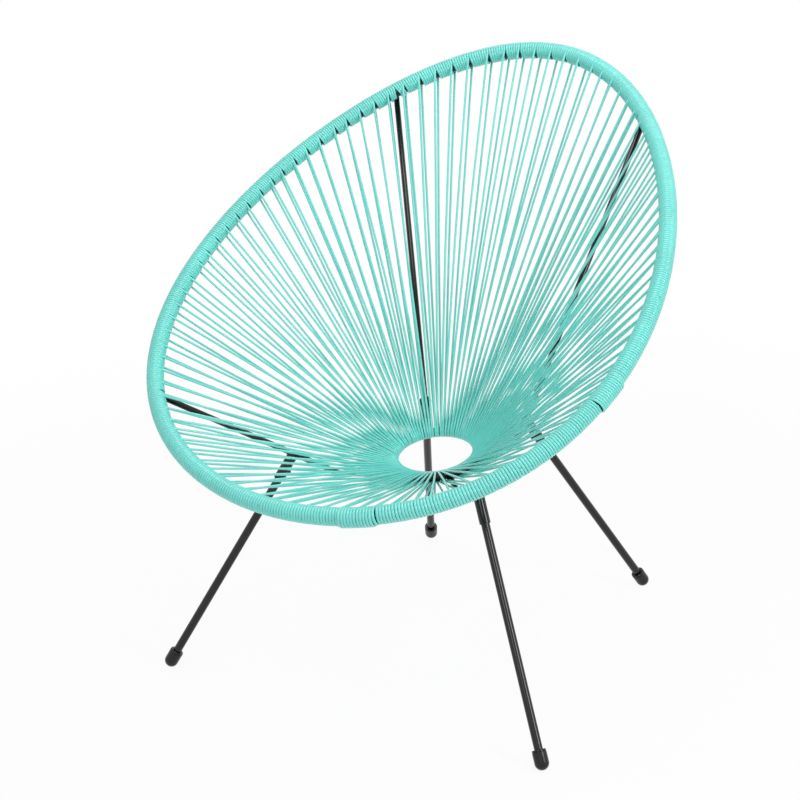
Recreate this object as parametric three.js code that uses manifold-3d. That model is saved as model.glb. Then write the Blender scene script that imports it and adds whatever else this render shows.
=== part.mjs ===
// Acapulco chair: a bent steel frame on four splayed legs, laced with one soft plastic cord.
// Millimetres, +Z up. The origin is on the floor under the middle of the rim, and the sitter faces -Y.
import * as THREE from "three";
import { mergeVertices } from "three/addons/utils/BufferGeometryUtils.js";
import Module from "manifold-3d";

const wasm = await Module();
wasm.setup();

// Clearances between pieces that touch
const clearance = 0.3;
const slotClearance = 0.7;
const ringStrutClearance = 1.2;
const overrun = 1;

// Cord: a round plastic cord, wound round the rim and looped over the centre ring
const cordDiameter = 3.2;
const cordSquareShare = 0.43; // half side of the square section that stands for the round cord
const leaveShare = 0.6; // of the winding's radius: how far from the rim's middle a strand stands free
const grooveDepth = 1;
const strandDepth = 0.3; // of sleeve that is left between a strand's end and the sleeve's bore

// Rim: an egg-shaped hoop in one tilted plane, narrow end high at the back
const rimTubeDiameter = 19;
const rimTubeWall = 1.5;
const rimHalfWidth = 355;
const rimHalfLength = 434;
const rimEggShare = 0.174;
const rimCentreHeight = 589;
const rimTilt = 30.9; // degrees
const ventDiameter = 5;
const ventPlaceShare = 0.5; // half way round from the back top: the hoop's lowest point

// Centre ring under the sitter, tipped a little towards the front
const ringRadius = 62.5;
const ringTubeDiameter = 12;
const ringCentreHeight = 297;
const ringSetback = 11;
const ringTilt = 9.7; // degrees

// Struts: one bent rod from the rim down to a knee and in to the centre ring.
// A knee's turn is from the line between the ring's middle and the strut's rim end, towards the back.
const strutDiameter = 8.5;
const kneeDrop = 17; // of the knee below the centre ring's middle
const kneeBendRadius = 45;
const frontStrut = { rimAngle: 133.35, kneeReach: 135.7, kneeTurn: 0, socketShare: 0.725 };
const rearStrut = { rimAngle: 42.3, kneeReach: 126, kneeTurn: 2.15, socketShare: 0.91 };

// Legs: straight tubes pushed into welded sockets and held there by one screw each
const legDiameter = 12;
const legWall = 1.2;
const legSpigotLength = 32;
const socketWall = 1.4;
const socketLength = 44;
const frontFoot = { aside: 309.4, along: -251.8 };
const rearFoot = { aside: 192, along: 298.1 };

// Foot caps: soft plastic sleeves with a domed end, worn flat where they stand
const capDiameter = 20;
const capBarrelLength = 18;
const capFlatDepth = 0.8;
const capMouthChamfer = 1.2;
const capLegDepthShare = 0.1; // the leg stops this share of the cap's diameter above the dome's centre

// Leg screws: pan-head screws through the inner side of each socket into the leg
const screwDiameter = 4;
const screwHeadDiameter = 8;
const screwHeadHeight = 2.6;
const screwPlaceShare = 0.66; // along the socket, from the strut to its mouth
const screwReach = 1.5; // beyond the leg's inner wall
const hexKeyWidth = 2.5;
const hexKeyDepth = 1.4;

// Joins in the cord: its ends lie under the winding, along the rim's outer side, and lift it there.
// Their places are counted in bundles from the first strut of their zone.
const joinRise = 3;
const joinSlope = 1.5;
const joinSide = 250; // degrees, from above the strands by way of the side that faces the ring
const joins = [
  { zone: "front", from: 7.87, to: 9.6 },
  { zone: "right", from: 19.3, to: 21 },
];

// How the cord's bundles are shared out between the struts, and how many nodes hold them
const zones = [
  { name: "back", gaps: 18, runs: 4 },
  { name: "right", gaps: 26, runs: 6 },
  { name: "front", gaps: 26, runs: 6 },
  { name: "left", gaps: 26, runs: 6 },
];

// Facets
const tubeSides = 8;
const roundSides = 12;
const ringSteps = 36;
const arcTable = 2880;
const weldDistance = 1e-4;
const hexSides = 6;
const bendSteps = 5;
const domeSteps = 5;
const loopTurns = 3; // corners of a loop's path round the centre ring
// The sides of a sleeve's octagon that face above and below, where the strands grow from it
const upperSide = tubeSides - 1;
const lowerSide = tubeSides / 2 - 1;
const loopCorners = [
  [-1, 1],
  [-1, -1],
  [1, -1],
  [1, 1],
];

const rimTubeRadius = rimTubeDiameter / 2;
const windingRadius = rimTubeRadius + cordDiameter;
const ringTubeRadius = ringTubeDiameter / 2;
const strutRadius = strutDiameter / 2;
const legRadius = legDiameter / 2;
const capRadius = capDiameter / 2;
const cordHalf = cordDiameter * cordSquareShare;
const strandRimRadius = rimTubeRadius + clearance + cordHalf + strandDepth;
const boreRadius = rimTubeRadius + clearance;
// The centre ring has flat facets, so its round line lies this far outside them
const ringSagitta = ringRadius * (1 - Math.cos(Math.PI / ringSteps));
const strandRingRadius = ringTubeRadius + ringSagitta + clearance + cordHalf;
const radians = THREE.MathUtils.degToRad;

const cordMaterial = new THREE.MeshStandardMaterial({ color: 0x74e0cf, roughness: 0.45, metalness: 0 });
const steelMaterial = new THREE.MeshStandardMaterial({ color: 0x17181a, roughness: 0.35, metalness: 0.3 });
const capMaterial = new THREE.MeshStandardMaterial({ color: 0x141414, roughness: 0.3, metalness: 0 });
const screwMaterial = new THREE.MeshStandardMaterial({ color: 0x2a2a2c, roughness: 0.3, metalness: 0.8 });

const chair = new THREE.Group();
chair.name = "acapulco_chair";

function vec(x, y, z) {
  return new THREE.Vector3(x, y, z);
}

function addPiece(name, geometry, material) {
  const mesh = new THREE.Mesh(geometry, material.clone());
  mesh.name = name;
  chair.add(mesh);
}

function unitFrom(a, b) {
  return b.clone().sub(a).normalize();
}

// Solids from meshes, and back again
function toSolid(geometry) {
  const bare = geometry.index ? geometry.toNonIndexed() : geometry.clone();
  bare.deleteAttribute("normal");
  bare.deleteAttribute("uv");
  const merged = mergeVertices(bare, weldDistance);
  return new wasm.Manifold(
    new wasm.Mesh({
      numProp: 3,
      vertProperties: merged.attributes.position.array,
      triVerts: new Uint32Array(merged.index.array),
    }),
  );
}

function toGeometry(solid) {
  const mesh = solid.getMesh();
  const geometry = new THREE.BufferGeometry();
  geometry.setAttribute("position", new THREE.BufferAttribute(Float32Array.from(mesh.vertProperties), 3));
  geometry.setIndex(new THREE.BufferAttribute(mesh.triVerts, 1));
  const flat = geometry.toNonIndexed();
  flat.computeVertexNormals();
  return flat;
}

// A skin over rings of points, all of one length. Ends are closed by fans, or the rings join up in a loop.
function skin(rings, joinsUp = false) {
  const sides = rings[0].length;
  const positions = [];
  const push = (...points) => points.forEach((p) => positions.push(p.x, p.y, p.z));
  const spans = joinsUp ? rings.length : rings.length - 1;
  for (let i = 0; i < spans; i++) {
    const a = rings[i];
    const b = rings[(i + 1) % rings.length];
    for (let j = 0; j < sides; j++) {
      const k = (j + 1) % sides;
      push(a[j], a[k], b[k]);
      push(a[j], b[k], b[j]);
    }
  }
  if (!joinsUp) {
    const first = rings[0];
    const last = rings[rings.length - 1];
    for (let j = 1; j + 1 < sides; j++) {
      push(first[0], first[j + 1], first[j]);
      push(last[0], last[j], last[j + 1]);
    }
  }
  const geometry = new THREE.BufferGeometry();
  geometry.setAttribute("position", new THREE.Float32BufferAttribute(positions, 3));
  geometry.computeVertexNormals();
  return geometry;
}

// A ring of points round a centre, in the plane of two square directions u and v, seen along u x v
function circlePoints(centre, u, v, radius, sides) {
  const points = [];
  for (let j = 0; j < sides; j++) {
    const angle = (2 * Math.PI * (j + 0.5)) / sides;
    const point = centre.clone();
    point.addScaledVector(u, radius * Math.cos(angle));
    point.addScaledVector(v, radius * Math.sin(angle));
    points.push(point);
  }
  return points;
}

// A lathe profile of [radius, height] pairs, turned about a line from a base point along a direction
function turned(profile, base, direction, sides) {
  const points = profile.map(([r, h]) => new THREE.Vector2(r, h));
  const geometry = new THREE.LatheGeometry(points, sides);
  const latheAxis = vec(0, 1, 0);
  geometry.applyQuaternion(new THREE.Quaternion().setFromUnitVectors(latheAxis, direction));
  geometry.translate(base.x, base.y, base.z);
  return geometry;
}

function rod(base, direction, radius, length, sides) {
  const profile = [
    [0, 0],
    [radius, 0],
    [radius, length],
    [0, length],
  ];
  return turned(profile, base, direction, sides);
}

// Rim line: the angle runs from the back top, over the chair's right side, to the front
function rimPoint(angle) {
  const along = rimHalfLength * Math.cos(angle);
  const aside = rimHalfWidth * Math.sin(angle) * (1 - rimEggShare * Math.cos(angle));
  return vec(
    aside,
    along * Math.cos(radians(rimTilt)),
    rimCentreHeight + along * Math.sin(radians(rimTilt)),
  );
}

const arcLengths = [0];
for (let i = 1; i <= arcTable; i++) {
  const a = rimPoint((2 * Math.PI * (i - 1)) / arcTable);
  const b = rimPoint((2 * Math.PI * i) / arcTable);
  arcLengths.push(arcLengths[i - 1] + a.distanceTo(b));
}
const rimLength = arcLengths[arcTable];

function arcAtAngle(angle) {
  const place = (angle / (2 * Math.PI)) * arcTable;
  const i = Math.min(Math.floor(place), arcTable - 1);
  return THREE.MathUtils.lerp(arcLengths[i], arcLengths[i + 1], place - i);
}

// The rim's point at a length along it, and its square directions: along it, to the ring and above the cord
function rimFrame(arc) {
  const wrapped = ((arc % rimLength) + rimLength) % rimLength;
  let low = 0;
  let high = arcTable;
  while (high - low > 1) {
    const middle = (low + high) >> 1;
    if (arcLengths[middle] <= wrapped) low = middle;
    else high = middle;
  }
  const within = (wrapped - arcLengths[low]) / (arcLengths[high] - arcLengths[low]);
  const angle = (2 * Math.PI * (low + within)) / arcTable;
  const step = Math.PI / arcTable;
  const centre = rimPoint(angle);
  const tangent = unitFrom(rimPoint(angle - step), rimPoint(angle + step));
  const toRing = unitFrom(centre, ringPoint(ringAngleAt(wrapped)));
  toRing.addScaledVector(tangent, -toRing.dot(tangent)).normalize();
  const above = new THREE.Vector3().crossVectors(toRing, tangent).normalize();
  return { centre, tangent, toRing, above };
}

// The place on the centre ring that faces a place on the rim: even between one strut and the next
function ringAngleAt(arc) {
  const index = zoneArcs.findIndex(([from, to]) => arc >= from && arc <= to);
  if (index < 0) return ringAngleAt(arc - rimLength);
  const [from, to] = zoneArcs[index];
  const [first, last] = zoneRingAngles[index];
  return THREE.MathUtils.mapLinear(arc, from, to, first, last);
}

function rimCircle(arc, radius) {
  const { centre, toRing, above } = rimFrame(arc);
  return circlePoints(centre, above, toRing, radius, tubeSides);
}

// A ring of the winding's outside, lifted where a join lies under it
function windingCircle(arc, radius) {
  const { centre, toRing, above } = rimFrame(arc);
  const points = circlePoints(centre, above, toRing, radius, tubeSides);
  const side = radians(joinSide);
  const way = above.clone().multiplyScalar(Math.cos(side)).addScaledVector(toRing, Math.sin(side));
  points.forEach((point) => {
    const out = unitFrom(centre, point);
    point.addScaledVector(out, joinRise * joinLift(arc) * Math.max(0, out.dot(way)));
  });
  return points;
}

// How far the winding is lifted: 1 over a join, 0 away from it
function joinLift(arc) {
  const lifts = joinArcs.map(([from, to]) => 1 - Math.max(from - arc, arc - to, 0) / joinSlope);
  return Math.max(0, ...lifts);
}

// Ring line: the angle runs from the back, over the chair's right side
const ringCentre = vec(0, ringSetback, ringCentreHeight);
const ringBack = vec(0, Math.cos(radians(ringTilt)), Math.sin(radians(ringTilt)));

function ringPoint(angle) {
  const point = ringCentre.clone();
  point.x += ringRadius * Math.sin(angle);
  return point.addScaledVector(ringBack, ringRadius * Math.cos(angle));
}

function ringTangent(angle) {
  const tangent = vec(Math.cos(angle), 0, 0);
  return tangent.addScaledVector(ringBack, -Math.sin(angle));
}

// One strut's line: rim, knee, ring, and the place where its leg is fixed
function strutLine(strut, side) {
  const rimCentre = rimPoint(radians(strut.rimAngle));
  rimCentre.x *= side;
  const level = vec(rimCentre.x, rimCentre.y - ringSetback, 0).normalize();
  level.applyAxisAngle(vec(0, 0, 1), radians(strut.kneeTurn * side));
  const ringAngle = Math.atan2(level.x, level.y / Math.cos(radians(ringTilt)));
  const ringEnd = ringPoint(ringAngle);
  const knee = vec(0, ringSetback, ringCentreHeight - kneeDrop).addScaledVector(level, strut.kneeReach);
  const joint = rimCentre.clone().lerp(knee, strut.socketShare);
  return { rimCentre, knee, ringEnd, ringAngle, joint };
}

function footPoint(foot, side) {
  return vec(foot.aside * side, foot.along, capRadius - capFlatDepth);
}

// A bent rod's rings: straight, an arc round the knee, straight
function strutGeometry(line, radius, sides) {
  const down = unitFrom(line.rimCentre, line.knee);
  const inward = unitFrom(line.knee, line.ringEnd);
  const turn = down.angleTo(inward);
  const reach = kneeBendRadius * Math.tan(turn / 2);
  const across = new THREE.Vector3().crossVectors(down, inward).normalize();
  const toCentre = new THREE.Vector3().crossVectors(across, down).normalize();
  const bendStart = line.knee.clone().addScaledVector(down, -reach);
  const bendCentre = bendStart.clone().addScaledVector(toCentre, kneeBendRadius);
  const stations = [{ point: line.rimCentre, direction: down }];
  for (let i = 0; i <= bendSteps; i++) {
    const angle = (turn * i) / bendSteps;
    const spoke = toCentre.clone().multiplyScalar(-kneeBendRadius).applyAxisAngle(across, angle);
    const direction = down.clone().applyAxisAngle(across, angle);
    stations.push({ point: bendCentre.clone().add(spoke), direction });
  }
  stations.push({ point: line.ringEnd, direction: inward });
  const rings = stations.map(({ point, direction }) => {
    const second = new THREE.Vector3().crossVectors(direction, across).normalize();
    return circlePoints(point, across, second, radius, sides);
  });
  return skin(rings);
}

// A strut's two ends are cut to the rounds of the rim and the centre ring
function buildStrut(name, line) {
  const rod = toSolid(strutGeometry(line, strutRadius, tubeSides));
  const rimRoom = toSolid(hoopGeometry(rimTubeRadius + clearance));
  const ringRoom = toSolid(ringGeometry(ringTubeRadius + clearance));
  addPiece(name, toGeometry(rod.subtract(rimRoom).subtract(ringRoom)), steelMaterial);
}

// The hoop's rings stand at every second end of a bundle, and so do the rings of the sleeves' bores
function hoopGeometry(radius) {
  const arcs = zones.flatMap((zone, index) => {
    const [from, to] = zoneArcs[index];
    const pairs = zone.gaps / 2;
    return Array.from({ length: pairs }, (_, i) => from + ((to - from) * i) / pairs);
  });
  return skin(arcs.map((arc) => rimCircle(arc, radius)), true);
}

function ringGeometry(radius) {
  const geometry = new THREE.TorusGeometry(ringRadius, radius, tubeSides, ringSteps);
  geometry.rotateX(radians(ringTilt));
  geometry.translate(ringCentre.x, ringCentre.y, ringCentre.z);
  return geometry;
}

// Steel rim: a hollow hoop with a vent hole at its lowest point
function buildRimTube() {
  const outer = toSolid(hoopGeometry(rimTubeRadius));
  const inner = toSolid(hoopGeometry(rimTubeRadius - rimTubeWall));
  const { centre, above } = rimFrame(rimLength * ventPlaceShare);
  const ventWay = above.clone().negate();
  const vent = toSolid(rod(centre, ventWay, ventDiameter / 2, rimTubeRadius + overrun, tubeSides));
  addPiece("rim_tube", toGeometry(outer.subtract(inner).subtract(vent)), steelMaterial);
}

function buildCentreRing() {
  addPiece("centre_ring", ringGeometry(ringTubeRadius), steelMaterial);
}

// The skin between two rings of a sleeve, but for the sides that strands grow from
function span(a, b, openSides = []) {
  const faces = [];
  a.forEach((point, j) => {
    const k = (j + 1) % a.length;
    if (openSides.includes(j)) return;
    faces.push([point, a[k], b[k]], [point, b[k], b[j]]);
  });
  return faces;
}

function facesToGeometry(faces) {
  const positions = faces.flat().flatMap((point) => [point.x, point.y, point.z]);
  const geometry = new THREE.BufferGeometry();
  geometry.setAttribute("position", new THREE.Float32BufferAttribute(positions, 3));
  geometry.computeVertexNormals();
  return geometry;
}

// A cord run: a sleeve of windings on the rim, with each gap's two strands and their loop over the ring
function buildCordRun(name, gaps, from, to, lines) {
  const start = from + clearance / 2;
  const end = to - clearance / 2;
  const grooveRadius = windingRadius - grooveDepth;
  const faces = [];
  let ring = windingCircle(start, windingRadius);
  let ringArc = start;
  // Takes the sleeve on to a ring at a length along the rim, by way of the edges of joins on the way
  const grow = (arc, radius, openSides) => {
    const edges = joinArcs.flatMap(([a, b]) => [a - joinSlope, a, b, b + joinSlope]);
    const between = edges.filter((edge) => edge > ringArc && edge < arc);
    const rings = between.map((edge) => windingCircle(edge, windingRadius));
    rings.push(windingCircle(arc, radius));
    rings.forEach((next) => {
      faces.push(...span(ring, next, openSides));
      ring = next;
    });
    ringArc = arc;
    return ring;
  };
  const bore = [rimCircle(start, boreRadius)];
  const mouth = [ring, bore[0]];
  gaps.forEach(({ arc, pitch, upperAngle, lowerAngle }, i) => {
    const middle = i === gaps.length - 1 ? end : arc + pitch / 2;
    const before = grow(arc - cordHalf, grooveRadius);
    const after = grow(arc + cordHalf, grooveRadius, [upperSide, lowerSide]);
    grow(middle, windingRadius);
    const rings = loopRings(arc, upperAngle, lowerAngle);
    rings.unshift([before[upperSide], before[0], after[0], after[upperSide]]);
    rings.push([before[lowerSide + 1], before[lowerSide], after[lowerSide], after[lowerSide + 1]]);
    for (let k = 1; k < rings.length; k++) faces.push(...span(rings[k - 1], rings[k]));
    if (i % 2) bore.push(rimCircle(middle, boreRadius));
  });
  for (let k = 1; k < bore.length; k++) {
    faces.push(...span(bore[k - 1], bore[k]).map((face) => face.reverse()));
  }
  faces.push(...span(mouth[1], mouth[0]));
  faces.push(...span(ring, bore[bore.length - 1]));
  let solid = toSolid(facesToGeometry(faces));
  lines.forEach((line) => {
    const down = unitFrom(line.rimCentre, line.knee);
    const slot = rod(line.rimCentre, down, strutRadius + slotClearance, windingRadius * 2, tubeSides);
    solid = solid.subtract(toSolid(slot));
  });
  addPiece(name, toGeometry(solid), cordMaterial);
}

// One loop of cord: off the rim's top, straight to the ring, round its inner side and back under the rim,
// with its place on the ring moving from the upper strand's to the lower strand's.
// Each ring of points starts at the cord's outer edge and goes round by way of the side next to the steel.
function loopRings(arc, upperAngle, lowerAngle) {
  const { centre, tangent, toRing, above } = rimFrame(arc);
  const leave = centre.clone().addScaledVector(toRing, windingRadius * leaveShare);
  const upper = leave.clone().addScaledVector(above, strandRimRadius);
  const lower = leave.clone().addScaledVector(above, -strandRimRadius);
  const turnAngle = Math.PI / loopTurns;
  const cornerRadius = strandRingRadius / Math.cos(turnAngle / 2);
  const path = [{ point: upper, out: above, side: tangent }];
  for (let i = 0; i < loopTurns; i++) {
    const ringAngle = THREE.MathUtils.lerp(upperAngle, lowerAngle, i / (loopTurns - 1));
    const ringAt = ringPoint(ringAngle);
    const along = ringTangent(ringAngle);
    const inward = unitFrom(leave, ringAt);
    inward.addScaledVector(along, -inward.dot(along)).normalize();
    const ringUp = new THREE.Vector3().crossVectors(inward, along).normalize();
    const angle = Math.PI / 2 - turnAngle * (i + 1 / 2);
    const out = inward.multiplyScalar(Math.cos(angle)).addScaledVector(ringUp, Math.sin(angle));
    const point = ringAt.clone().addScaledVector(out, cornerRadius);
    path.push({ point, out, side: along, stretch: 1 / Math.cos(turnAngle / 2) });
  }
  path.push({ point: lower, out: above.clone().negate(), side: tangent });
  return path.map(({ point, out, side, stretch = 1 }) =>
    loopCorners.map(([a, b]) =>
      point.clone().addScaledVector(side, a * cordHalf).addScaledVector(out, b * cordHalf * stretch),
    ),
  );
}

// Socket: a tube welded under the strut, its top cut to the strut's round
function buildSocket(name, line, foot) {
  const up = unitFrom(foot, line.joint);
  const base = line.joint.clone().addScaledVector(up, -socketLength);
  const bore = legRadius + clearance;
  const profile = [
    [bore, 0],
    [bore + socketWall, 0],
    [bore + socketWall, socketLength],
    [bore, socketLength],
    [bore, 0],
  ];
  const tube = toSolid(turned(profile, base, up, roundSides));
  const strutRoom = toSolid(strutGeometry(line, strutRadius + clearance, tubeSides));
  const above = rod(line.joint, up, windingRadius, windingRadius, tubeSides);
  const screw = screwPlace(line, foot);
  const hole = screwHole(line, screw);
  const cut = tube.subtract(strutRoom).subtract(toSolid(above)).subtract(hole);
  addPiece(name, toGeometry(largestPart(cut)), steelMaterial);
}

function largestPart(solid) {
  const parts = solid.decompose();
  return parts.reduce((best, part) => (part.volume() > best.volume() ? part : best));
}

// Where a leg's screw sits: on the side of the socket that faces the middle of the chair
function screwPlace(line, foot) {
  const down = unitFrom(line.joint, foot);
  const towardsMiddle = vec(-line.joint.x, ringSetback - line.joint.y, 0).normalize();
  const out = towardsMiddle.addScaledVector(down, -towardsMiddle.dot(down)).normalize();
  return { out, offset: down.clone().multiplyScalar(socketLength * screwPlaceShare) };
}

function screwHole(line, { out, offset }) {
  const start = line.joint.clone().add(offset);
  return toSolid(rod(start, out, screwDiameter / 2 + clearance, windingRadius, tubeSides));
}

function buildLeg(name, line, foot) {
  const up = unitFrom(foot, line.joint);
  const top = line.joint.clone().addScaledVector(up, legSpigotLength - socketLength);
  const bottom = foot.clone().addScaledVector(up, capDiameter * capLegDepthShare);
  const length = bottom.distanceTo(top);
  const profile = [
    [legRadius - legWall, 0],
    [legRadius, 0],
    [legRadius, length],
    [legRadius - legWall, length],
    [legRadius - legWall, 0],
  ];
  const tube = toSolid(turned(profile, bottom, up, roundSides));
  addPiece(name, toGeometry(tube.subtract(screwHole(line, screwPlace(line, foot)))), steelMaterial);
}

function buildScrew(name, line, foot) {
  const { out, offset } = screwPlace(line, foot);
  const seat = legRadius + clearance + socketWall + clearance;
  const tip = legRadius - legWall - screwReach;
  const base = line.joint.clone().add(offset).addScaledVector(out, tip);
  const shank = seat - tip;
  const profile = [
    [0, 0],
    [screwDiameter / 2, 0],
    [screwDiameter / 2, shank],
    [screwHeadDiameter / 2, shank],
    [screwHeadDiameter / 2, shank + screwHeadHeight / 2],
    [screwHeadDiameter / 3, shank + screwHeadHeight],
    [0, shank + screwHeadHeight],
  ];
  const body = toSolid(turned(profile, base, out, tubeSides));
  const keyTop = base.clone().addScaledVector(out, shank + screwHeadHeight - hexKeyDepth);
  const key = toSolid(rod(keyTop, out, hexKeyWidth / 2, hexKeyDepth + overrun, hexSides));
  addPiece(name, toGeometry(body.subtract(key)), screwMaterial);
}

// Foot cap: a blind sleeve with a domed end, cut level where it stands on the floor
function buildFootCap(name, line, foot) {
  const up = unitFrom(foot, line.joint);
  const bore = legRadius + clearance;
  const floor = capDiameter * capLegDepthShare - clearance;
  const profile = [[0, -capRadius]];
  for (let i = 1; i < domeSteps; i++) {
    const angle = (Math.PI / 2) * (1 - i / domeSteps);
    profile.push([capRadius * Math.cos(angle), -capRadius * Math.sin(angle)]);
  }
  profile.push([capRadius, 0]);
  profile.push([capRadius, capBarrelLength - capMouthChamfer]);
  profile.push([capRadius - capMouthChamfer, capBarrelLength]);
  profile.push([bore, capBarrelLength]);
  profile.push([bore, floor]);
  profile.push([0, floor]);
  const cap = toSolid(turned(profile, foot, up, roundSides));
  const wear = new THREE.BoxGeometry(capDiameter * 2, capDiameter * 2, capDiameter);
  wear.translate(foot.x, foot.y, -capDiameter / 2);
  addPiece(name, toGeometry(cap.subtract(toSolid(wear))), capMaterial);
}

// The four corners, each with its strut, socket, leg, foot cap and screw
const corners = [
  { name: "front_right", strut: frontStrut, foot: frontFoot, side: 1 },
  { name: "front_left", strut: frontStrut, foot: frontFoot, side: -1 },
  { name: "rear_right", strut: rearStrut, foot: rearFoot, side: 1 },
  { name: "rear_left", strut: rearStrut, foot: rearFoot, side: -1 },
];

corners.forEach((corner) => {
  corner.line = strutLine(corner.strut, corner.side);
});

// Arc lengths on the rim, and angles on the ring, between one strut and the next
const rearArc = arcAtAngle(radians(rearStrut.rimAngle));
const frontArc = arcAtAngle(radians(frontStrut.rimAngle));
const zoneArcs = [
  [-rearArc, rearArc],
  [rearArc, frontArc],
  [frontArc, rimLength - frontArc],
  [rimLength - frontArc, rimLength - rearArc],
];
const rearRingAngle = corners[2].line.ringAngle;
const frontRingAngle = corners[0].line.ringAngle;
const zoneRingAngles = [
  [-rearRingAngle, rearRingAngle],
  [rearRingAngle, frontRingAngle],
  [frontRingAngle, 2 * Math.PI - frontRingAngle],
  [2 * Math.PI - frontRingAngle, 2 * Math.PI - rearRingAngle],
];
// The upper strands pass over the struts. Under the ring the cord stands clear of them.
const strutRoomAngle = (strutDiameter + cordDiameter + ringStrutClearance * 2) / ringRadius;

const joinArcs = joins.map(({ zone, from, to }) => {
  const index = zones.findIndex(({ name }) => name === zone);
  const [first, last] = zoneArcs[index];
  const pitch = (last - first) / zones[index].gaps;
  return [first + pitch * from, first + pitch * to];
});

// Splits a zone's gaps into runs with an even number of gaps each
function runSizes(gaps, runs) {
  const pairs = gaps / 2;
  const cut = (i) => 2 * Math.round((pairs * i) / runs);
  return Array.from({ length: runs }, (_, i) => cut(i + 1) - cut(i));
}

function buildCords() {
  zones.forEach((zone, index) => {
    const [from, to] = zoneArcs[index];
    const [first, last] = zoneRingAngles[index];
    const pitch = (to - from) / zone.gaps;
    const upperStep = (last - first) / zone.gaps;
    const lowerStep = (last - first - strutRoomAngle) / (zone.gaps - 1);
    const gaps = Array.from({ length: zone.gaps }, (_, i) => ({
      arc: from + pitch * (i + 0.5),
      upperAngle: first + upperStep * (i + 0.5),
      lowerAngle: first + strutRoomAngle / 2 + lowerStep * i,
      pitch,
    }));
    let done = 0;
    runSizes(zone.gaps, zone.runs).forEach((size, i) => {
      const own = gaps.slice(done, done + size);
      const start = from + pitch * done;
      const end = from + pitch * (done + size);
      const touching = i === 0 || i === zone.runs - 1 ? corners.map((corner) => corner.line) : [];
      buildCordRun("cord_" + zone.name + "_" + (i + 1), own, start, end, touching);
      done += size;
    });
  });
}

buildRimTube();
buildCentreRing();
corners.forEach(({ name, line, foot, side }) => {
  const footAt = footPoint(foot, side);
  buildStrut("strut_" + name, line);
  buildSocket("leg_socket_" + name, line, footAt);
  buildLeg("leg_" + name, line, footAt);
  buildFootCap("foot_cap_" + name, line, footAt);
  buildScrew("leg_screw_" + name, line, footAt);
});
buildCords();

export default chair;
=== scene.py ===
import math

import bpy
import numpy as np
from mathutils import Matrix, Vector


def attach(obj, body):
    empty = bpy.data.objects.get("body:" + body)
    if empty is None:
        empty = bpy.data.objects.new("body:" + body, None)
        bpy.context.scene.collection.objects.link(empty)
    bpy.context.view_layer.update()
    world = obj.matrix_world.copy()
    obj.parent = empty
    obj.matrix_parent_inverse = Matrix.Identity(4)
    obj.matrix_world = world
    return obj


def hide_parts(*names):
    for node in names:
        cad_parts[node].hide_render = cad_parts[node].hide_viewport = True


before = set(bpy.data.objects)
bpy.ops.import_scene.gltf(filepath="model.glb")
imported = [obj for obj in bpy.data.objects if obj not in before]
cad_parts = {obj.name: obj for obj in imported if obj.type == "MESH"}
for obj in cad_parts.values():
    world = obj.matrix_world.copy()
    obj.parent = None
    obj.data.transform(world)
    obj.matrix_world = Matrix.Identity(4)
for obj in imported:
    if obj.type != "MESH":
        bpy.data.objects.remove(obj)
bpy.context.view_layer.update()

MM = 0.001
TAU = 2 * math.pi
RANDOM_SEED = 5
rng = np.random.default_rng(RANDOM_SEED)

# Cord: round where it is free, a little flattened where it is wound
CORD_RADIUS = 1.6 * MM
WOUND_HALF_DEPTH = 1.55 * MM
WOUND_FULLNESS = 0.09  # how much fuller than an oval the section is at its corners, where it is wound
GAP_WIDTH = 0.15 * MM
GAP_PINCH = 0.075  # the turns on the side of the ring crowd together by this share
RING_PRESS = 0.4  # how soon the cord is pressed flat on its way round the ring, sooner when smaller
PRESS_MARGIN = 0.1  # share of this pressing's rise and fall that lies beyond either end of that way
UPPER_STRAND_POINTS = (0.04, 0.5, 0.95)  # shares of the way from the rim to the ring
LOWER_STRAND_POINTS = (0.05, 0.5, 0.96)  # shares of the way back
HALF_WAY = 0.5
STEPS_PER_TURN = 16
LOOP_STEPS = 9
CORD_SIDES = 8

# Unevenness of handwork
RING_JITTER = 0.6 * MM
PATH_JITTER = 0.9 * MM
TURN_JITTER = 0.06 * MM
SWAY_GAPS = 3  # strands that lie near each other on the ring drift together, over this many gaps

# Rim
RIM_TUBE_RADIUS = 9.5 * MM
RIM_HALF_WIDTH = 355 * MM
RIM_HALF_LENGTH = 434 * MM
RIM_EGG = 0.174
RIM_HEIGHT = 589 * MM
RIM_TILT = math.radians(30.9)
RIM_STEPS = 240
WOUND_RADIUS = RIM_TUBE_RADIUS + WOUND_HALF_DEPTH

# Centre ring
RING_RADIUS = 62.5 * MM
RING_TUBE_RADIUS = 6 * MM
RING_HEIGHT = 297 * MM
RING_SETBACK = 11 * MM
RING_TILT = math.radians(9.7)
RING_STEPS = 96

# Struts. Their shares are of the way from rim to knee, where the leg joins.
STRUT_RADIUS = 4.25 * MM
STRUT_ROOM = 12.1 * MM / RING_RADIUS  # an angle on the ring, between the lower strands beside a strut
KNEE_DROP = 17 * MM
KNEE_BEND = 45 * MM
BEND_STEPS = 17
FRONT = dict(rim=math.radians(133.35), reach=135.7 * MM, turn=0, share=0.725,
             foot=(309.4 * MM, -251.8 * MM))
REAR = dict(rim=math.radians(42.3), reach=126 * MM, turn=math.radians(2.15), share=0.91,
            foot=(192 * MM, 298.1 * MM))
CORNERS = {
    "front_right": (FRONT, 1),
    "front_left": (FRONT, -1),
    "rear_right": (REAR, 1),
    "rear_left": (REAR, -1),
}

# How the turns stand aside where a strut leaves the rim. Places round the rim's tube are counted
# from above the strands by way of the side that faces the ring.
STRUT_SIDE = math.radians(98)
ASIDE_FROM = -0.35  # cosine of the angle from there at which they begin to
ASIDE_FULL = 0.9  # cosine of the angle at which they do in full
ASIDE_CROWDING = 0.9  # their spacing there, as a share of the usual

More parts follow.
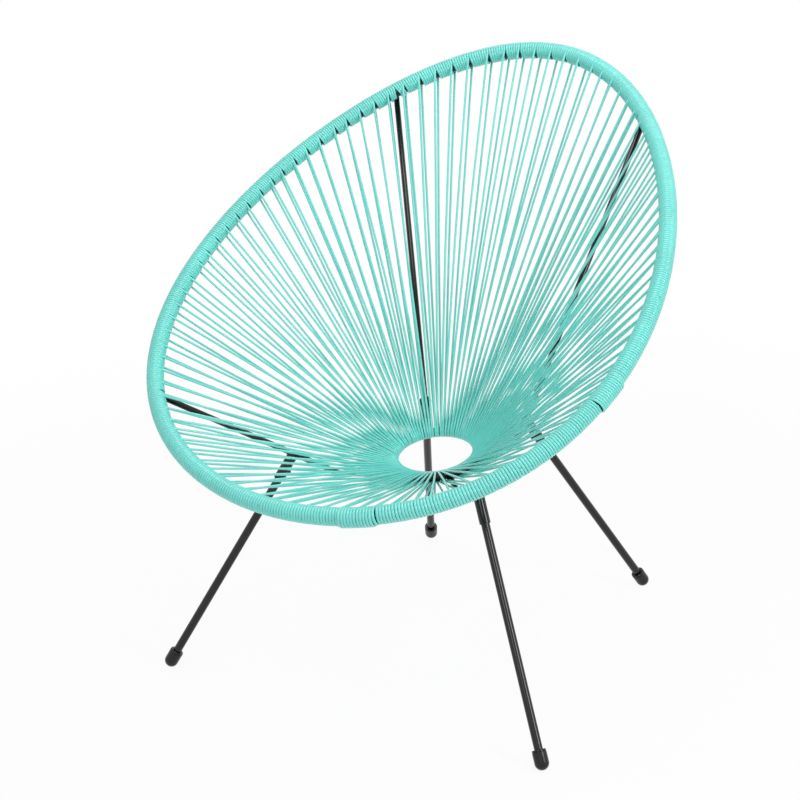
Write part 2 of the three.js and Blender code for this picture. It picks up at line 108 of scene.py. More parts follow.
# Sockets, legs and foot caps
LEG_RADIUS = 6 * MM
LEG_TOP_GAP = 12 * MM
SOCKET_FIT = 0.3 * MM
SOCKET_WALL = 1.4 * MM
SOCKET_LENGTH = 44 * MM
SOCKET_EDGE = 0.4 * MM
CAP_RADIUS = 10 * MM
CAP_BARREL = 18 * MM
CAP_FLAT = 0.8 * MM
CAP_LEG_DEPTH = 2 * MM
CAP_COLLAR = ((0, 3.4), (0.6, 3.0), (0.6, 2.3), (0, 1.9), (0.15, 0.9), (1.1, 0))  # mm in and below the mouth
DOME_STEPS = 14

# Beads of weld
BEAD_RADIUS = 1.1 * MM
BEAD_SETBACK = 0.2 * MM
BEAD_UNEVENNESS = 0.12
BEAD_WAVE = 2.4  # radians of its unevenness from point to point
BEAD_STEPS = 28  # round a strut's end
BEAD_SIDES = 8

# Sides of round pieces, and the angles over which an edge is sharp
ROD_SIDES = 20
LEG_SIDES = 28
WIDE_SIDES = 40
SHARP_EDGE = 35
SHARP_CAP_EDGE = 28

# Winding from strut to strut: gaps, nodes, turns in a bundle, which bundles have one turn more or less,
# and the turns of the bundle at the first strut that lie on this side of it
ZONES = (
    dict(name="back", gaps=18, nodes=4, turns=7, first=3.5,
         changes={5: 1, 7: -1, 12: 1, 13: -1}),
    dict(name="right", gaps=26, nodes=6, turns=7, first=3.5,
         changes={4: 1, 6: -1, 11: -1, 12: 1, 17: 1, 18: -1, 22: 1, 24: -1}),
    dict(name="front", gaps=26, nodes=6, turns=6, first=3.5,
         changes={3: 1, 5: -1, 12: 1, 14: -1, 20: 1, 23: -1}),
    dict(name="left", gaps=26, nodes=6, turns=7, first=4.5,
         changes={3: -1, 4: 1, 9: 1, 10: -1, 15: 1, 17: -1, 21: 1, 22: -1}),
)
STRUT_TURNS = 7

# Joins in the cord, that lift the winding on the rim's outer side: zone and place in bundles
JOINS = (dict(zone="front", start=7.68, end=9.6), dict(zone="right", start=19.3, end=21.0))
JOIN_RISE = 4.2 * MM
JOIN_SLOPE = 1.5 * MM
JOIN_CROWDING = 0.016  # the lifted turns crowd together by this share
JOIN_SIDE = math.radians(250)


# Rim and ring lines
def unit(v):
    return v / np.linalg.norm(v, axis=-1, keepdims=True)


def rim_point(t):
    """The rim's middle line, an egg in a tilted plane, from the back top by way of the right."""
    along = RIM_HALF_LENGTH * np.cos(t)
    aside = RIM_HALF_WIDTH * np.sin(t) * (1 - RIM_EGG * np.cos(t))
    return np.stack([aside, along * math.cos(RIM_TILT), RIM_HEIGHT + along * math.sin(RIM_TILT)], -1)


X = np.array([1.0, 0, 0])
NEARLY_SIDEWAYS = 0.9  # share of a direction that lies along X
RING_CENTRE = np.array([0, RING_SETBACK, RING_HEIGHT])
RING_BACK = np.array([0, math.cos(RING_TILT), math.sin(RING_TILT)])


def ring_point(a):
    a = np.asarray(a, float)[..., None]
    return RING_CENTRE + RING_RADIUS * (np.sin(a) * X + np.cos(a) * RING_BACK)


def ring_tangent(a):
    a = np.asarray(a, float)[..., None]
    return np.cos(a) * X - np.sin(a) * RING_BACK


# Lengths along the rim, found by adding up many short steps
TABLE_STEPS = 5760
TABLE_T = np.linspace(0, TAU, TABLE_STEPS + 1)
TABLE_S = np.r_[0, np.cumsum(np.linalg.norm(np.diff(rim_point(TABLE_T), axis=0), axis=1))]
TANGENT_STEP = TABLE_T[1] / 10
RIM_LENGTH = TABLE_S[-1]


def strut_line(corner, side):
    """The line of a strut and its leg: rim, knee, ring, joint with the leg, and foot."""
    rim = rim_point(corner["rim"]) * np.array([side, 1, 1])
    x, y, _ = unit(np.array([rim[0], rim[1] - RING_SETBACK, 0]))
    turn = corner["turn"] * side
    level = np.array([x * math.cos(turn) - y * math.sin(turn), x * math.sin(turn) + y * math.cos(turn), 0])
    angle = math.atan2(level[0], level[1] / math.cos(RING_TILT))
    knee = np.array([0, RING_SETBACK, RING_HEIGHT - KNEE_DROP]) + level * corner["reach"]
    foot = np.array([corner["foot"][0] * side, corner["foot"][1], CAP_RADIUS - CAP_FLAT])
    joint = rim + (knee - rim) * corner["share"]
    return dict(rim=rim, knee=knee, ring=ring_point(angle), angle=angle, joint=joint, foot=foot)


LINES = {name: strut_line(*corner) for name, corner in CORNERS.items()}
REAR_ARC, FRONT_ARC = np.interp([REAR["rim"], FRONT["rim"]], TABLE_T, TABLE_S)
REAR_ANGLE, FRONT_ANGLE = LINES["rear_right"]["angle"], LINES["front_right"]["angle"]
ZONE_ARCS = ((-REAR_ARC, REAR_ARC), (REAR_ARC, FRONT_ARC), (FRONT_ARC, RIM_LENGTH - FRONT_ARC),
             (RIM_LENGTH - FRONT_ARC, RIM_LENGTH - REAR_ARC))
ZONE_ANGLES = ((-REAR_ANGLE, REAR_ANGLE), (REAR_ANGLE, FRONT_ANGLE), (FRONT_ANGLE, TAU - FRONT_ANGLE),
               (TAU - FRONT_ANGLE, TAU - REAR_ANGLE))
MAP_ARCS = [arcs[0] for arcs in ZONE_ARCS] + [ZONE_ARCS[-1][1]]
MAP_ANGLES = [angles[0] for angles in ZONE_ANGLES] + [ZONE_ANGLES[-1][1]]


def rim_frame(s):
    """Centre, tangent, way to the ring and way above the strands, at lengths along the rim."""
    s = np.asarray(s, float)
    t = np.interp(np.mod(s, RIM_LENGTH), TABLE_S, TABLE_T)
    centre = rim_point(t)
    tangent = unit(rim_point(t + TANGENT_STEP) - rim_point(t - TANGENT_STEP))
    wrapped = np.mod(s - MAP_ARCS[0], RIM_LENGTH) + MAP_ARCS[0]
    to_ring = ring_point(np.interp(wrapped, MAP_ARCS, MAP_ANGLES)) - centre
    to_ring = unit(to_ring - tangent * np.sum(to_ring * tangent, -1, keepdims=True))
    return centre, tangent, to_ring, np.cross(to_ring, tangent)


# Meshes
def mesh_object(name, verts, faces, material):
    mesh = bpy.data.meshes.new(name)
    mesh.from_pydata([tuple(v) for v in verts], [], faces)
    mesh.polygons.foreach_set("use_smooth", [True] * len(mesh.polygons))
    mesh.update()
    mesh.materials.append(material)
    obj = bpy.data.objects.new(name, mesh)
    bpy.context.scene.collection.objects.link(obj)
    return obj


def band_faces(rows, sides, closed):
    """Faces from each row of vertices to the next, and from the last to the first if it is closed."""
    faces = []
    for i in range(rows if closed else rows - 1):
        a, b = i * sides, (i + 1) % rows * sides
        for j in range(sides):
            k = (j + 1) % sides
            faces.append((a + j, a + k, b + k, b + j))
    return faces


def sweep(points, refs, wide, deep, sides, closed=False, fullness=0):
    """An oval section swept along points, deep along refs and wide across them."""
    points, refs = np.asarray(points, float), np.asarray(refs, float)
    n = len(points)
    tangents = np.roll(points, -1, 0) - np.roll(points, 1, 0) if closed else np.gradient(points, axis=0)
    tangents = unit(tangents)
    out = unit(refs - tangents * np.sum(refs * tangents, -1, keepdims=True))
    across = np.cross(tangents, out)
    wide = np.broadcast_to(wide, n)[:, None, None]
    deep = np.broadcast_to(deep, n)[:, None, None]
    angles = (np.arange(sides) / sides * TAU)[None, :, None]
    full = 1 + np.broadcast_to(fullness, n)[:, None, None] * np.sin(2 * angles) ** 2
    section = deep * np.cos(angles) * out[:, None] + wide * np.sin(angles) * across[:, None]
    rings = points[:, None] + full * section
    faces = band_faces(n, sides, closed)
    if not closed:
        faces.append(tuple(range(sides))[::-1])
        faces.append(tuple(range((n - 1) * sides, n * sides)))
    return rings.reshape(-1, 3), faces


def join_meshes(parts):
    """One list of vertices and faces from several."""
    verts, faces = [], []
    for part_verts, part_faces in parts:
        start = len(verts)
        verts.extend(part_verts)
        faces.extend(tuple(i + start for i in face) for face in part_faces)
    return verts, faces


def square_ways(direction):
    """Two ways square to a direction and to each other."""
    helper = X if abs(direction[0]) < NEARLY_SIDEWAYS else np.array([0, 1.0, 0])
    first = unit(np.cross(direction, helper))
    return first, np.cross(direction, first)


def spokes(direction, sides):
    """Ways square to a direction, evenly round it."""
    u, v = square_ways(direction)
    angles = np.linspace(0, TAU, sides, endpoint=False)[:, None]
    return np.cos(angles) * u + np.sin(angles) * v


def turned(profile, base, direction, sides):
    """A profile of (radius, height) pairs turned about a line. A radius of 0 makes a closed end."""
    u, v = square_ways(direction)
    angles = np.arange(sides) / sides * TAU
    verts, faces, rows = [], [], []
    for radius, height in profile:
        count = sides if radius > 0 else 1
        rows.append(range(len(verts), len(verts) + count))
        for a in angles[:count]:
            verts.append(base + direction * height + radius * (math.cos(a) * u + math.sin(a) * v))
    for low, high in zip(rows, rows[1:]):
        for j in range(sides):
            k = (j + 1) % sides
            corners = [low[j % len(low)], low[k % len(low)], high[k % len(high)], high[j % len(high)]]
            faces.append(tuple(dict.fromkeys(corners)))
    return verts, faces


def sharpen(obj, degrees):
    obj.data.set_sharp_from_angle(angle=math.radians(degrees))


def settle(obj, node):
    """Every piece rides on the one body, in place of its CAD node."""
    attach(obj, "root")
    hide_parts(node)


# Materials
COAT_ROUGHNESS = 0.2
PATCH_EDGES = (0.3, 0.7)  # levels of the noise at which a patch has its darkest and its palest tint
GRAIN_DEPTH = 0.2 * MM
NOISE_DETAIL = 3


def srgb(*levels):
    """A colour given in 0 to 255, as the linear values that Blender's shaders take."""
    shares = [level / 255 for level in levels]
    linear = [c / 12.92 if c <= 0.04045 else ((c + 0.055) / 1.055) ** 2.4 for c in shares]
    return (*linear, 1)


def noise(nodes, links, coords, scale):
    node = nodes.new("ShaderNodeTexNoise")
    node.inputs["Scale"].default_value = scale
    node.inputs["Detail"].default_value = NOISE_DETAIL
    links.new(coords.outputs["Object"], node.inputs["Vector"])
    return node.outputs["Fac"]


def surface(name, colour, roughness, specular, patch_scale, patch_tint, patch_rough, grain_scale, grain_bump,
            metallic=0.0, glow_through=0.0, coat=0.0):
    """A finish whose colour and gloss drift in patches, over a fine grain."""
    material = bpy.data.materials.new(name)
    material.use_nodes = True
    nodes, links = material.node_tree.nodes, material.node_tree.links
    shader = nodes["Principled BSDF"]
    shader.inputs["Specular IOR Level"].default_value = specular
    shader.inputs["Metallic"].default_value = metallic
    shader.inputs["Subsurface Weight"].default_value = glow_through
    shader.inputs["Subsurface Scale"].default_value = CORD_RADIUS
    shader.inputs["Coat Weight"].default_value = coat
    shader.inputs["Coat Roughness"].default_value = COAT_ROUGHNESS
    coords = nodes.new("ShaderNodeTexCoord")
    patches = noise(nodes, links, coords, patch_scale)
    tint = nodes.new("ShaderNodeValToRGB")
    for element, place, sign in zip(tint.color_ramp.elements, PATCH_EDGES, (-1, 1)):
        element.position = place
        element.color = [min(1, c * (1 + sign * patch_tint)) for c in colour[:3]] + [1]
    links.new(patches, tint.inputs["Fac"])
    links.new(tint.outputs["Color"], shader.inputs["Base Color"])
    gloss = nodes.new("ShaderNodeMapRange")
    gloss.inputs["To Min"].default_value = roughness - patch_rough
    gloss.inputs["To Max"].default_value = roughness + patch_rough
    links.new(patches, gloss.inputs["Value"])
    links.new(gloss.outputs["Result"], shader.inputs["Roughness"])
    bump = nodes.new("ShaderNodeBump")
    bump.inputs["Strength"].default_value = grain_bump
    bump.inputs["Distance"].default_value = GRAIN_DEPTH
    links.new(noise(nodes, links, coords, grain_scale), bump.inputs["Height"])
    links.new(bump.outputs["Normal"], shader.inputs["Normal"])
    return material


CORD = surface("cord_plastic", srgb(116, 224, 215), roughness=0.3, specular=0.8, glow_through=0.15, coat=0.3,
               patch_scale=16, patch_tint=0.05, patch_rough=0.05, grain_scale=600, grain_bump=0.06)
STEEL = surface("frame_steel", srgb(4, 4, 5), roughness=0.15, specular=0.45,
                patch_scale=60, patch_tint=0.2, patch_rough=0.04, grain_scale=1500, grain_bump=0.05)
PLASTIC = surface("foot_plastic", srgb(8, 8, 8), roughness=0.22, specular=0.4,
                  patch_scale=200, patch_tint=0.12, patch_rough=0.05, grain_scale=1800, grain_bump=0.15)
SCREW = surface("screw_steel", srgb(60, 60, 62), roughness=0.3, specular=0.5, metallic=0.9,
                patch_scale=300, patch_tint=0.12, patch_rough=0.08, grain_scale=2500, grain_bump=0.2)


# Cord
def eased(share):
    return share * share * (3 - 2 * share)


def build_gaps():
    """Every gap in order round the rim: its node, its place along the rim and its two places on the ring."""
    gaps = []
    for index, zone in enumerate(ZONES):
        count, runs, turns, changes = zone["gaps"], zone["nodes"], zone["turns"], zone["changes"]
        arcs, angles = ZONE_ARCS[index], ZONE_ANGLES[index]
        last = STRUT_TURNS - ZONES[(index + 1) % len(ZONES)]["first"]
        spans = np.array([zone["first"]] + [turns + changes.get(i, 0) for i in range(1, count)])
        pitch = (arcs[1] - arcs[0] - count * GAP_WIDTH) / (spans.sum() + last)
        places = arcs[0] + np.cumsum(spans * pitch + GAP_WIDTH) - GAP_WIDTH / 2
        # The gaps at which each node starts are even numbers, as in the CAD
        cuts = [2 * math.floor(count / 2 * i / runs + 0.5) for i in range(runs + 1)]
        upper_step = (angles[1] - angles[0]) / count
        lower_step = (angles[1] - angles[0] - STRUT_ROOM) / (count - 1)
        knots = np.arange(0, count + SWAY_GAPS, SWAY_GAPS)
        sway = np.interp(np.arange(count), knots, rng.normal(0, RING_JITTER, len(knots)))
        for j in range(count):
            run = max(i for i in range(runs) if cuts[i] <= j) + 1
            shift = (sway[j] + rng.normal(0, RING_JITTER, 2)) / RING_RADIUS / 2
            at_strut = j == count - 1
            gaps.append(dict(
                node="cord_%s_%d" % (zone["name"], run),
                place=places[j],
                strut=arcs[1] if at_strut else None,
                step=upper_step,
                turns=STRUT_TURNS if at_strut else turns + changes.get(j + 1, 0),
                upper=angles[0] + upper_step * (j + 0.5) + shift[0],
                lower=angles[0] + STRUT_ROOM / 2 + lower_step * j + shift[1]))
    return gaps


def lift_over_joins(s, theta):
    """How far the turns are lifted over the joins in the cord, and how far they crowd together there."""
    lift, shift = np.zeros_like(s), np.zeros_like(s)
    names = [zone["name"] for zone in ZONES]
    for join in JOINS:
        index = names.index(join["zone"])
        first, last = ZONE_ARCS[index]
        pitch = (last - first) / ZONES[index]["gaps"]
        middle = first + pitch * (join["start"] + join["end"]) / 2
        outside = np.abs(s - middle) - pitch * (join["end"] - join["start"]) / 2
        share = np.clip(1 - outside / JOIN_SLOPE, 0, 1) * np.maximum(0, np.cos(theta - JOIN_SIDE))
        lift += JOIN_RISE * share
        shift -= (s - middle) * JOIN_CROWDING * share
    return lift, shift


def make_room_for_strut(s, theta, strut, pitch):
    """Turns next to a strut stand aside where it leaves the rim."""
    offset = s - strut
    near = eased(np.clip((np.cos(theta - STRUT_SIDE) - ASIDE_FROM) / (ASIDE_FULL - ASIDE_FROM), 0, 1))
    clear = STRUT_RADIUS + CORD_RADIUS + (np.abs(offset) - pitch / 2) * ASIDE_CROWDING
    return strut + offset + near * (np.sign(offset) * clear - offset)


def bundle(left, right):
    """The winding between two gaps: points, outward ways and half sizes of the section.

    It starts under the rim, where the left gap's lower strand ends, and stops above it, where the
    right gap's upper strand starts. The gaps are told how far from their middles that is.
    """
    start, end = left["place"], right["place"]
    if end < start:
        end += RIM_LENGTH
    turns = left["turns"]
    pitch = (end - start - GAP_WIDTH) / turns
    left["after"] = GAP_WIDTH / 2 + pitch / 4
    right["before"] = GAP_WIDTH / 2 + pitch / 4
    theta = np.linspace(math.pi, TAU * turns, int((turns - 0.5) * STEPS_PER_TURN) + 1)
    s = start + left["after"] + pitch * (theta - math.pi) / TAU
    middle = (start + end) / 2
    if left["strut"]:
        s = make_room_for_strut(s, theta, left["strut"], pitch)
    s = middle + (s - middle) * (1 - GAP_PINCH * np.maximum(0, np.sin(theta)))
    knots = np.arange(turns + 1) * TAU
    s = s + np.interp(theta, knots, rng.normal(0, TURN_JITTER, turns + 1))
    unevenness = np.interp(theta, knots, rng.normal(0, TURN_JITTER, turns + 1))
    lift, shift = lift_over_joins(s, theta)
    centre, _, to_ring, above = rim_frame(s + shift)
    out = np.cos(theta)[:, None] * above + np.sin(theta)[:, None] * to_ring
    points = centre + out * (WOUND_RADIUS + unevenness + lift)[:, None]
    even = np.ones(len(points))
    return points, out, even * max(pitch / 2, CORD_RADIUS), even * WOUND_HALF_DEPTH, even * WOUND_FULLNESS


def strand(start, end, shares, bow):
    """Points of a straight strand, pushed aside by bow at its middle."""
    return [start + (end - start) * share + bow * (share == HALF_WAY) for share in shares]


def loop(gap):
    """A gap's two strands by way of the ring: points, outward ways and half sizes of the section."""
    top_centre, _, _, above = rim_frame(gap["place"] - gap["before"])
    low_centre, _, _, low_above = rim_frame(gap["place"] + gap["after"])
    top = top_centre + above * WOUND_RADIUS
    low = low_centre - low_above * WOUND_RADIUS
    share = np.linspace(0, 1, LOOP_STEPS)
    under = np.clip(share * 2 - 1, 0, 1)
    angle = gap["upper"] + (gap["lower"] - gap["upper"]) * eased(under)
    steel, along = ring_point(angle), ring_tangent(angle)
    inward = steel - (top + low) / 2
    inward = unit(inward - along * np.sum(inward * along, -1, keepdims=True))
    up = np.cross(inward, along)
    turn = (math.pi * (0.5 - share))[:, None]
    out = np.cos(turn) * inward + np.sin(turn) * up
    inside = np.sin(math.pi * share)
    room = gap["step"] / 2 * (RING_RADIUS - (RING_TUBE_RADIUS + CORD_RADIUS) * inside)
    pressed = np.sin(math.pi * (PRESS_MARGIN + (1 - 2 * PRESS_MARGIN) * share)) ** RING_PRESS
    flat = CORD_RADIUS + (room - CORD_RADIUS) * pressed
    round_ring = steel + out * (RING_TUBE_RADIUS + CORD_RADIUS ** 2 / flat)[:, None]
    bow = rng.normal(0, PATH_JITTER, (2, 3))
    to_ring = strand(top, round_ring[0], UPPER_STRAND_POINTS, bow[0])
    back = strand(round_ring[-1], low, LOWER_STRAND_POINTS, bow[1])
    points = np.vstack([to_ring, round_ring, back])
    ways = np.vstack([[above, above, up[0]], out, [-up[-1], -low_above, -low_above]])
    free = np.full(len(to_ring), CORD_RADIUS)
    wide = np.concatenate([free, flat, free])
    return points, ways, wide, CORD_RADIUS ** 2 / wide, np.zeros(len(points))


def build_cords():
    """One run of cord for each node, from the middle of one bundle to the middle of another."""
    gaps = build_gaps()
    bundles = [bundle(gap, gaps[(i + 1) % len(gaps)]) for i, gap in enumerate(gaps)]
    nodes = list(dict.fromkeys(gap["node"] for gap in gaps))
    for node in nodes:
        own = [i for i, gap in enumerate(gaps) if gap["node"] == node]
        before = bundles[own[0] - 1]
        stretches = [[row[len(row) // 2:] for row in before]]
        for i in own:
            rows = bundles[i]
            stretches.append(loop(gaps[i]))
            stretches.append([row[:len(row) // 2 + 1] for row in rows] if i == own[-1] else rows)
        points, ways, wide, deep, fullness = [np.concatenate(rows) for rows in zip(*stretches)]
        verts, faces = sweep(points, ways, wide, deep, CORD_SIDES, fullness=fullness)
        settle(mesh_object(node.replace("cord", "lacing"), verts, faces, CORD), node)


# Frame
def build_rim_tube():
    centre, _, _, above = rim_frame(np.linspace(0, RIM_LENGTH, RIM_STEPS, endpoint=False))
    verts, faces = sweep(centre, above, RIM_TUBE_RADIUS, RIM_TUBE_RADIUS, ROD_SIDES, closed=True)
    settle(mesh_object("rim_hoop", verts, faces, STEEL), "rim_tube")


def build_centre_ring():
    angles = np.linspace(0, TAU, RING_STEPS, endpoint=False)
    ways = np.broadcast_to(np.cross(X, RING_BACK), (RING_STEPS, 3))
    verts, faces = sweep(ring_point(angles), ways, RING_TUBE_RADIUS, RING_TUBE_RADIUS, ROD_SIDES, closed=True)
    settle(mesh_object("lacing_ring", verts, faces, STEEL), "centre_ring")


def weld_bead(points, ways):
    """A slightly uneven bead along a closed line."""
    size = BEAD_RADIUS * (1 + BEAD_UNEVENNESS * np.sin(np.arange(len(points)) * BEAD_WAVE))
    return sweep(points, ways, size, size, BEAD_SIDES, closed=True)


def build_strut(name, line):
    """A rod from the rim to a bend at the knee and on to the ring, with a bead of weld at the ring."""
    down = unit(line["knee"] - line["rim"])
    inward = unit(line["ring"] - line["knee"])
    turn = math.acos(float(np.dot(down, inward)))
    across = unit(np.cross(down, inward))
    to_centre = np.cross(across, down)
    bend_centre = line["knee"] - down * KNEE_BEND * math.tan(turn / 2) + to_centre * KNEE_BEND
    points = [line["rim"] + down * RIM_TUBE_RADIUS]
    for angle in np.linspace(0, turn, BEND_STEPS):
        points.append(bend_centre + KNEE_BEND * (down * math.sin(angle) - to_centre * math.cos(angle)))
    points.append(line["ring"] - inward * RING_TUBE_RADIUS)
    ways = np.broadcast_to(across, (len(points), 3))
    rod = sweep(points, ways, STRUT_RADIUS, STRUT_RADIUS, ROD_SIDES)
    outward = spokes(inward, BEAD_STEPS)
    bead_centre = line["ring"] - inward * (RING_TUBE_RADIUS + BEAD_SETBACK)
    bead = weld_bead(bead_centre + outward * STRUT_RADIUS, outward)
    verts, faces = join_meshes([rod, bead])
    settle(mesh_object("rod_" + name, verts, faces, STEEL), "strut_" + name)


def build_socket(name, line):
    """A tube whose top is cut to saddle the strut, with a bead of weld along the cut."""
    up = unit(line["joint"] - line["foot"])
    down = unit(line["knee"] - line["rim"])
    normal = unit(up - down * np.dot(up, down))
    lateral = np.cross(down, normal)
    base = line["joint"] - up * SOCKET_LENGTH
    outward = spokes(up, WIDE_SIDES)

    def row(radius, height):
        return base + outward * radius + up * height

    def saddle(radius):
        start = row(radius, 0)
        aside = (start - line["joint"]) @ lateral
        drop = np.sqrt(np.maximum(0, STRUT_RADIUS ** 2 - aside ** 2))
        height = (-drop - (start - line["joint"]) @ normal) / np.dot(up, normal)
        return start + up * np.minimum(height, SOCKET_LENGTH)[:, None]

    inner = LEG_RADIUS + SOCKET_FIT
    outer = inner + SOCKET_WALL
    rows = [
        saddle(inner),
        row(inner, SOCKET_EDGE),
        row(inner + SOCKET_EDGE, 0),
        row(outer - SOCKET_EDGE, 0),
        row(outer, SOCKET_EDGE),
        saddle(outer),
    ]
    # The rows go down inside and up outside, so the faces are turned the other way round
    faces = [(a, d, c, b) for a, b, c, d in band_faces(len(rows), WIDE_SIDES, closed=True)]
    verts, faces = join_meshes([(np.concatenate(rows), faces), weld_bead(saddle(outer), outward)])
    socket = mesh_object("sleeve_" + name, verts, faces, STEEL)
    sharpen(socket, SHARP_EDGE)
    settle(socket, "leg_socket_" + name)


def build_leg(name, line):
    up = unit(line["joint"] - line["foot"])
    bottom = line["foot"] + up * CAP_LEG_DEPTH
    length = float(np.linalg.norm(line["joint"] - up * LEG_TOP_GAP - bottom))
    profile = [(0, 0), (LEG_RADIUS, 0), (LEG_RADIUS, length), (0, length)]
    leg = mesh_object("tube_" + name, *turned(profile, bottom, up, LEG_SIDES), STEEL)
    sharpen(leg, SHARP_EDGE)
    settle(leg, "leg_" + name)


def build_cap(name, line):
    """A domed cap, flat where it stands, with a groove below its collar."""
    up = unit(line["joint"] - line["foot"])
    dome_angles = np.linspace(0, math.pi / 2, DOME_STEPS)
    dome = [(CAP_RADIUS * math.sin(a), -CAP_RADIUS * math.cos(a)) for a in dome_angles]
    collar = [(CAP_RADIUS - inset * MM, CAP_BARREL - below * MM) for inset, below in CAP_COLLAR]
    mouth = LEG_RADIUS + SOCKET_FIT
    bore = [(mouth, CAP_BARREL), (mouth, CAP_LEG_DEPTH), (0, CAP_LEG_DEPTH)]
    verts, faces = turned(dome + collar + bore, line["foot"], up, WIDE_SIDES)
    verts = [(x, y, max(z, 0)) for x, y, z in verts]
    cap = mesh_object("cap_" + name, verts, faces, PLASTIC)
    sharpen(cap, SHARP_CAP_EDGE)
    settle(cap, "foot_cap_" + name)


def dress_screw(name):
    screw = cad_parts["leg_screw_" + name]
    screw.data.materials.clear()
    screw.data.materials.append(SCREW)


build_cords()
build_rim_tube()
build_centre_ring()
for corner, line in LINES.items():
    build_strut(corner, line)
    build_socket(corner, line)
    build_leg(corner, line)
    build_cap(corner, line)
    dress_screw(corner)

# Studio
FLOOR_HALF_SIDE = 9
FLOOR_COLOUR = (0.85, 0.85, 0.85, 1)
FLOOR_ROUGHNESS = 0.9
SHADOW_SHARE = 0.08  # how much of the floor's own shading the camera sees near the chair
SHADOW_NEAR = 0.7  # from the middle: that share of shading holds up to here
SHADOW_FAR = 1.6  # and is gone from here on
WHITE = (1, 1, 1, 1)
WORLD_LIGHT = 0.51
LAMP_AIM = Vector((0, 0, 0.45))


def link_seen_white(nodes, links):
    """1 for camera, glossy and transmission rays, 0 for the rays that light the object."""
    path = nodes.new("ShaderNodeLightPath")
    either = nodes.new("ShaderNodeMath")
    either.operation = "MAXIMUM"
    links.new(path.outputs["Is Camera Ray"], either.inputs[0])
    links.new(path.outputs["Is Glossy Ray"], either.inputs[1])
    any_of = nodes.new("ShaderNodeMath")
    any_of.operation = "MAXIMUM"
    links.new(either.outputs[0], any_of.inputs[0])
    links.new(path.outputs["Is Transmission Ray"], any_of.inputs[1])
    return any_of.outputs[0]


def floor_material():
    """White to the eye, but for a share of its own shading near the chair, which keeps the shadow."""
    material = bpy.data.materials.new("floor_white")
    material.use_nodes = True
    nodes, links = material.node_tree.nodes, material.node_tree.links
    shader = nodes["Principled BSDF"]
    shader.inputs["Base Color"].default_value = FLOOR_COLOUR
    shader.inputs["Roughness"].default_value = FLOOR_ROUGHNESS
    white = nodes.new("ShaderNodeEmission")
    coords = nodes.new("ShaderNodeTexCoord")
    distance = nodes.new("ShaderNodeVectorMath")
    distance.operation = "LENGTH"
    links.new(coords.outputs["Object"], distance.inputs[0])
    share = nodes.new("ShaderNodeMapRange")
    share.inputs["From Min"].default_value = SHADOW_NEAR
    share.inputs["From Max"].default_value = SHADOW_FAR
    share.inputs["To Min"].default_value = 1 - SHADOW_SHARE
    links.new(distance.outputs["Value"], share.inputs["Value"])
    factor = nodes.new("ShaderNodeMath")
    factor.operation = "MULTIPLY"
    links.new(link_seen_white(nodes, links), factor.inputs[0])
    links.new(share.outputs["Result"], factor.inputs[1])
    mix = nodes.new("ShaderNodeMixShader")
    links.new(factor.outputs[0], mix.inputs["Fac"])
    links.new(shader.outputs[0], mix.inputs[1])
    links.new(white.outputs[0], mix.inputs[2])
    links.new(mix.outputs[0], nodes["Material Output"].inputs["Surface"])
    return material


def build_floor():
    d = FLOOR_HALF_SIDE
    corners = [(-d, -d, 0), (d, -d, 0), (d, d, 0), (-d, d, 0)]
    mesh_object("floor", corners, [(0, 1, 2, 3)], floor_material())


def build_world():
    """White to the eye, and a plain light on the object."""
    world = bpy.data.worlds.new("studio")
    bpy.context.scene.world = world
    world.use_nodes = True
    nodes, links = world.node_tree.nodes, world.node_tree.links
    seen = nodes["Background"]
    seen.inputs["Color"].default_value = WHITE
    light = nodes.new("ShaderNodeBackground")
    light.inputs["Strength"].default_value = WORLD_LIGHT
    light.inputs["Color"].default_value = WHITE
    mix = nodes.new("ShaderNodeMixShader")
    links.new(link_seen_white(nodes, links), mix.inputs["Fac"])
    links.new(light.outputs[0], mix.inputs[1])
    links.new(seen.outputs[0], mix.inputs[2])
    links.new(mix.outputs[0], nodes["World Output"].inputs["Surface"])


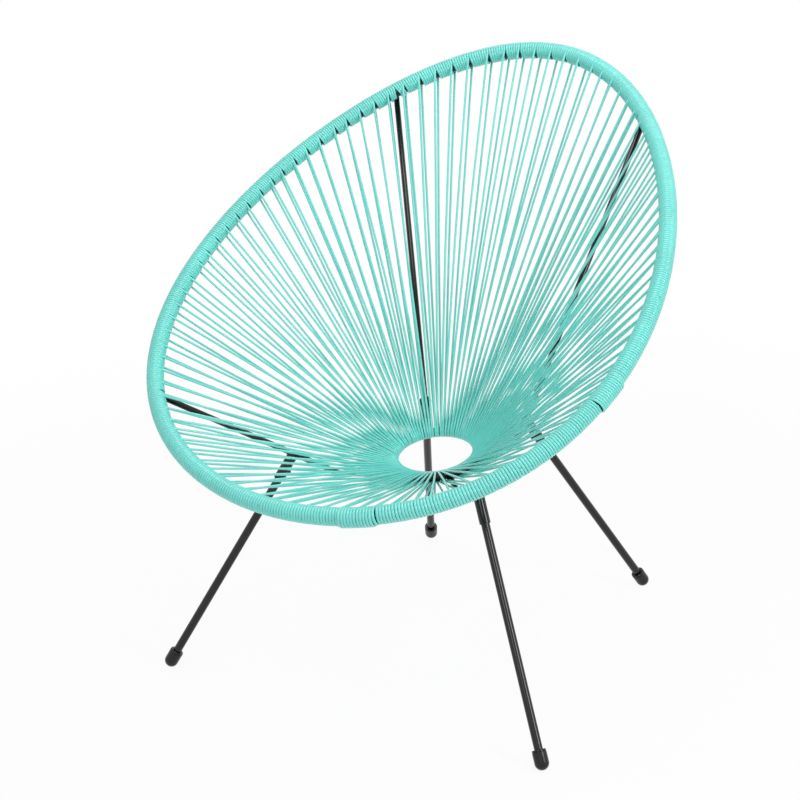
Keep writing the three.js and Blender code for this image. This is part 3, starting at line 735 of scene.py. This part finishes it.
def build_softbox(name, place, size, power):
    lamp = bpy.data.lights.new(name, "AREA")
    lamp.shape = "RECTANGLE"
    lamp.size, lamp.size_y = size
    lamp.energy = power
    obj = bpy.data.objects.new(name, lamp)
    obj.location = place
    aim = LAMP_AIM - Vector(place)
    obj.rotation_euler = aim.to_track_quat("-Z", "Y").to_euler()
    bpy.context.scene.collection.objects.link(obj)


build_floor()
build_world()
build_softbox("key", place=(2.73, -0.29, 1.75), size=(0.75, 1.2), power=27)
build_softbox("front", place=(0.76, -2.66, 2.05), size=(1.0, 1.0), power=12)
build_softbox("top", place=(0.2, 0.1, 3.2), size=(1.8, 1.4), power=29)

# Camera, fitted to the photograph's perspective
CAMERA_PLACE = Vector((1.5045, -2.4208, 1.5234))
CAMERA_AIM = Vector((0, -0.0518, 0.40415))
CAMERA_ROLL = math.radians(-2.552)
CAMERA_SENSOR = 36  # millimetres, as Blender counts sensors and lenses
PICTURE = 800  # pixels
FOCAL_LENGTH = 2144.54  # pixels
MIDDLE = (409.84, 399.81)  # pixels: where the fitted perspective has its middle


def build_camera():
    """Turned so that the picture's middle, and not the fitted perspective's, lies straight ahead."""
    ahead = (CAMERA_AIM - CAMERA_PLACE).normalized()
    level = ahead.cross(Vector((0, 0, 1))).normalized()
    upright = level.cross(ahead)
    right = level * math.cos(CAMERA_ROLL) + upright * math.sin(CAMERA_ROLL)
    up = upright * math.cos(CAMERA_ROLL) - level * math.sin(CAMERA_ROLL)
    ahead = ahead * FOCAL_LENGTH + right * (PICTURE / 2 - MIDDLE[0]) - up * (PICTURE / 2 - MIDDLE[1])
    ahead.normalize()
    right = ahead.cross(up).normalized()
    up = right.cross(ahead)
    lens = bpy.data.cameras.new("camera")
    lens.sensor_width = CAMERA_SENSOR
    lens.lens = FOCAL_LENGTH * CAMERA_SENSOR / PICTURE
    camera = bpy.data.objects.new("camera", lens)
    turn = Matrix((right, up, -ahead)).transposed().to_4x4()
    camera.matrix_world = Matrix.Translation(CAMERA_PLACE) @ turn
    bpy.context.scene.collection.objects.link(camera)
    bpy.context.scene.camera = camera


build_camera()
bpy.context.scene.view_settings.view_transform = "Standard"
bpy.context.view_layer.update()
